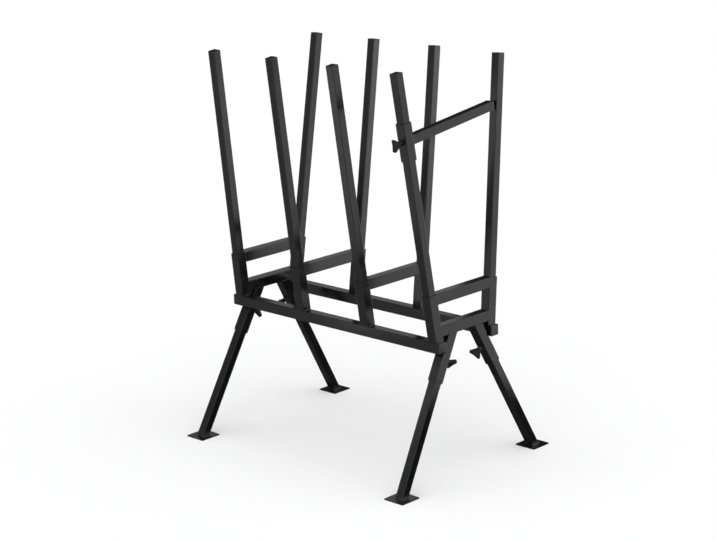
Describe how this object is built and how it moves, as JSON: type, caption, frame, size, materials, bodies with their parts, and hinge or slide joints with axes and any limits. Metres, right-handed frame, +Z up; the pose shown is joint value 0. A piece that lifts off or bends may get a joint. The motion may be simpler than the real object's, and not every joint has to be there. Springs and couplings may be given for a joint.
{
  "type": "log saw stand",
  "caption": "Black square-tube log saw stand: leaning plug-in uprights form log cradles over two rails, with a sliding hold-down bar and splayed telescopic legs on foot plates.",
  "frame": {"origin": "middle of the footprint, on the floor", "axes": "+X along the rails to the right end, +Y from front to back, +Z up"},
  "size_m": [0.851, 0.611, 1.1223],
  "materials": {
    "black_powder_coat": "black powder coat, semi-gloss",
    "black_plastic": "black moulded plastic",
    "zinc_steel": "zinc plated screw steel"
  },
  "bodies": {
    "frame": {"front_rail": "black_powder_coat", "back_rail": "black_powder_coat", "rail_plugs": "black_plastic", "left_crossbar": "black_powder_coat", "right_crossbar": "black_powder_coat", "leg_nuts": "black_powder_coat", "front_post_1": "black_powder_coat", "front_post_2": "black_powder_coat", "front_post_3": "black_powder_coat", "front_post_4": "black_powder_coat", "back_post_1": "black_powder_coat", "back_post_2": "black_powder_coat", "back_post_3": "black_powder_coat", "back_post_4": "black_powder_coat", "log_rest_1": "black_powder_coat", "log_rest_2": "black_powder_coat", "log_rest_3": "black_powder_coat", "log_rest_4": "black_powder_coat", "front_left_leg_sleeve": "black_powder_coat", "front_right_leg_sleeve": "black_powder_coat", "back_left_leg_sleeve": "black_powder_coat", "back_right_leg_sleeve": "black_powder_coat"},
    "front_upright_1": {"front_upright_1": "black_powder_coat", "front_upright_cap_1": "black_plastic"},
    "front_upright_2": {"front_upright_2": "black_powder_coat", "front_upright_cap_2": "black_plastic"},
    "front_upright_3": {"front_upright_3": "black_powder_coat", "front_upright_cap_3": "black_plastic"},
    "front_upright_4": {"front_upright_4": "black_powder_coat", "front_upright_cap_4": "black_plastic"},
    "back_upright_1": {"back_upright_1": "black_powder_coat", "back_upright_cap_1": "black_plastic"},
    "back_upright_2": {"back_upright_2": "black_powder_coat", "back_upright_cap_2": "black_plastic"},
    "back_upright_3": {"back_upright_3": "black_powder_coat", "back_upright_cap_3": "black_plastic"},
    "back_upright_4": {"back_upright_4": "black_powder_coat", "back_upright_cap_4": "black_plastic"},
    "front_left_leg": {"front_left_leg": "black_powder_coat", "front_left_foot_plate": "black_powder_coat"},
    "front_left_wing_screw": {"front_left_leg_knob": "black_plastic", "front_left_leg_screw": "zinc_steel"},
    "front_right_leg": {"front_right_leg": "black_powder_coat", "front_right_foot_plate": "black_powder_coat"},
    "front_right_wing_screw": {"front_right_leg_knob": "black_plastic", "front_right_leg_screw": "zinc_steel"},
    "back_left_leg": {"back_left_leg": "black_powder_coat", "back_left_foot_plate": "black_powder_coat"},
    "back_left_wing_screw": {"back_left_leg_knob": "black_plastic", "back_left_leg_screw": "zinc_steel"},
    "back_right_leg": {"back_right_leg": "black_powder_coat", "back_right_foot_plate": "black_powder_coat"},
    "back_right_wing_screw": {"back_right_leg_knob": "black_plastic", "back_right_leg_screw": "zinc_steel"},
    "hold_down": {"hold_down_sleeve": "black_powder_coat", "hold_down_bar": "black_powder_coat", "hold_down_plug": "black_plastic", "hold_down_nut": "black_powder_coat"},
    "hold_down_wing_screw": {"hold_down_knob": "black_plastic", "hold_down_screw": "zinc_steel"}
  },
  "joints": [
    {"name": "front_upright_1_lift", "type": "slide", "parent": "frame", "child": "front_upright_1", "axis": [0.0433, -0.1288, 0.9907], "range_m": [0, 0.14]},
    {"name": "front_upright_2_lift", "type": "slide", "parent": "frame", "child": "front_upright_2", "axis": [0.0138, -0.1288, 0.9916], "range_m": [0, 0.14]},
    {"name": "front_upright_3_lift", "type": "slide", "parent": "frame", "child": "front_upright_3", "axis": [-0.0138, -0.1288, 0.9916], "range_m": [0, 0.14]},
    {"name": "front_upright_4_lift", "type": "slide", "parent": "frame", "child": "front_upright_4", "axis": [-0.0433, -0.1288, 0.9907], "range_m": [0, 0.14]},
    {"name": "back_upright_1_lift", "type": "slide", "parent": "frame", "child": "back_upright_1", "axis": [0.0433, 0.1288, 0.9907], "range_m": [0, 0.14]},
    {"name": "back_upright_2_lift", "type": "slide", "parent": "frame", "child": "back_upright_2", "axis": [0.0138, 0.1288, 0.9916], "range_m": [0, 0.14]},
    {"name": "back_upright_3_lift", "type": "slide", "parent": "frame", "child": "back_upright_3", "axis": [-0.0138, 0.1288, 0.9916], "range_m": [0, 0.14]},
    {"name": "back_upright_4_lift", "type": "slide", "parent": "frame", "child": "back_upright_4", "axis": [-0.0433, 0.1288, 0.9907], "range_m": [0, 0.14]},
    {"name": "front_left_leg_slide", "type": "slide", "parent": "frame", "child": "front_left_leg", "axis": [-0.0382, -0.4818, -0.8755], "range_m": [-0.03, 0.016]},
    {"name": "front_left_wing_screw_turn", "type": "hinge", "parent": "frame", "child": "front_left_wing_screw", "pos_m": [-0.37732, -0.07011, 0.33886], "axis": [-0.021, 0.8763, -0.4813], "range_deg": [0, 270]},
    {"name": "front_right_leg_slide", "type": "slide", "parent": "frame", "child": "front_right_leg", "axis": [0.0382, -0.4818, -0.8755], "range_m": [-0.03, 0.016]},
    {"name": "front_right_wing_screw_turn", "type": "hinge", "parent": "frame", "child": "front_right_wing_screw", "pos_m": [0.3777, -0.07493, 0.33011], "axis": [0.021, 0.8763, -0.4813], "range_deg": [0, 270]},
    {"name": "back_left_leg_slide", "type": "slide", "parent": "frame", "child": "back_left_leg", "axis": [-0.0382, 0.4818, -0.8755], "range_m": [-0.03, 0.016]},
    {"name": "back_left_wing_screw_turn", "type": "hinge", "parent": "frame", "child": "back_left_wing_screw", "pos_m": [-0.37717, 0.06818, 0.34237], "axis": [-0.021, -0.8763, -0.4813], "range_deg": [0, 270]},
    {"name": "back_right_leg_slide", "type": "slide", "parent": "frame", "child": "back_right_leg", "axis": [0.0382, 0.4818, -0.8755], "range_m": [-0.03, 0.016]},
    {"name": "back_right_wing_screw_turn", "type": "hinge", "parent": "frame", "child": "back_right_wing_screw", "pos_m": [0.37755, 0.073, 0.33361], "axis": [0.021, -0.8763, -0.4813], "range_deg": [0, 270]},
    {"name": "hold_down_slide", "type": "slide", "parent": "front_upright_4", "child": "hold_down", "axis": [-0.0433, -0.1288, 0.9907], "range_m": [-0.022, 0.12]},
    {"name": "hold_down_wing_screw_turn", "type": "hinge", "parent": "hold_down", "child": "hold_down_wing_screw", "pos_m": [0.35111, -0.19275, 0.9391], "axis": [0.0056, -0.9917, -0.1287], "range_deg": [0, 270]}
  ]
}
